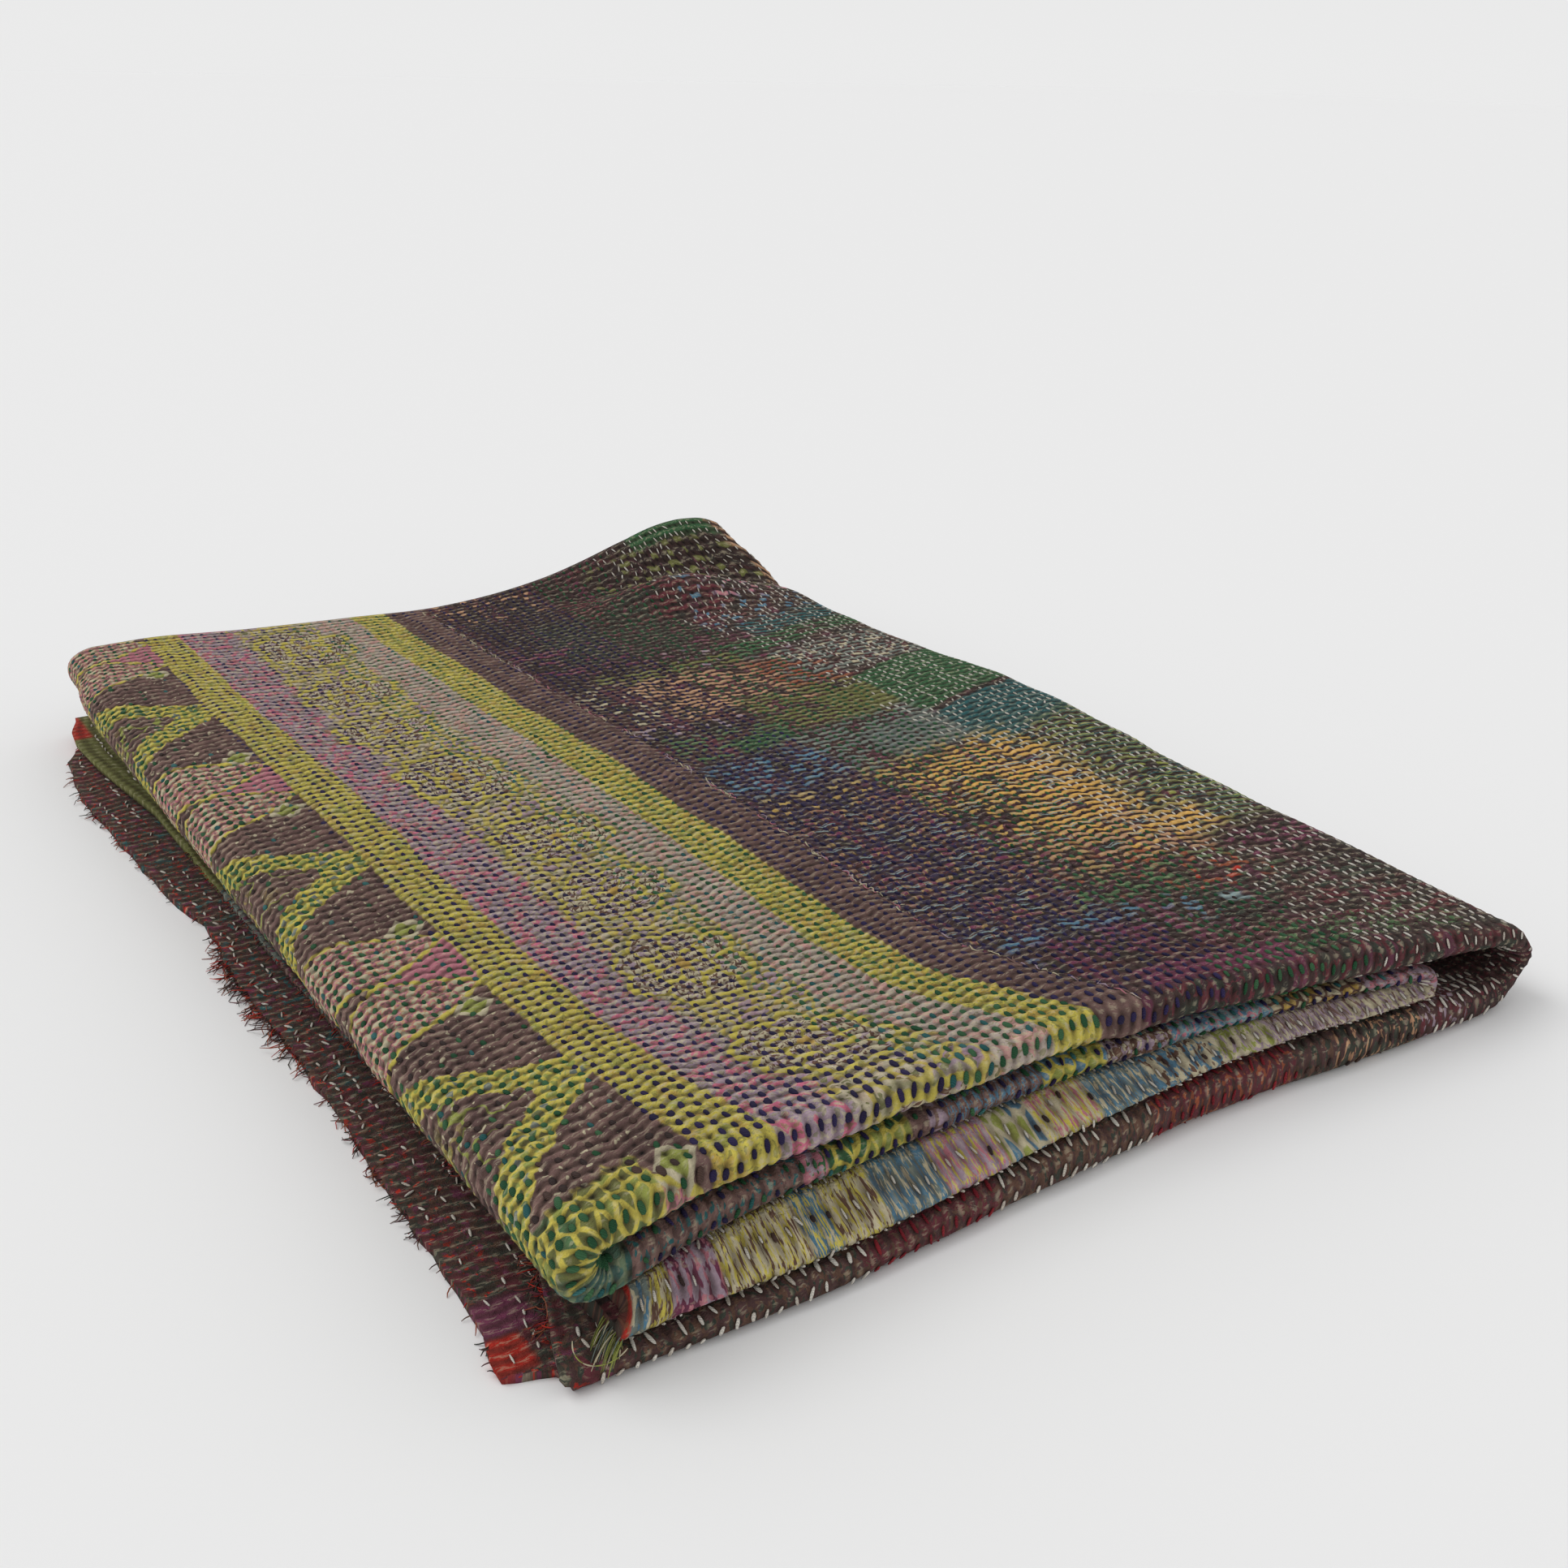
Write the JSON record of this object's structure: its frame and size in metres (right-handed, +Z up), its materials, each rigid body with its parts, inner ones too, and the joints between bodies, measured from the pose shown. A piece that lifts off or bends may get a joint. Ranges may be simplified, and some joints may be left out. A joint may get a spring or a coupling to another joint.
{
  "type": "kantha quilt",
  "caption": "Hand-stitched cotton patchwork quilt, folded in half and then across into a low stack, with a torn hem at one side and a lifted corner.",
  "frame": {"origin": "middle of the folded stack's footprint, on the surface it lies on", "axes": "+X to the right along the folded front edge, +Y away from that edge, +Z up"},
  "size_m": [0.4938, 0.6528, 0.0847],
  "materials": {
    "worn_cotton": "worn printed cotton, matt, with rows of running stitch"
  },
  "bodies": {
    "root": {"quilt": "worn_cotton"}
  },
  "joints": []
}
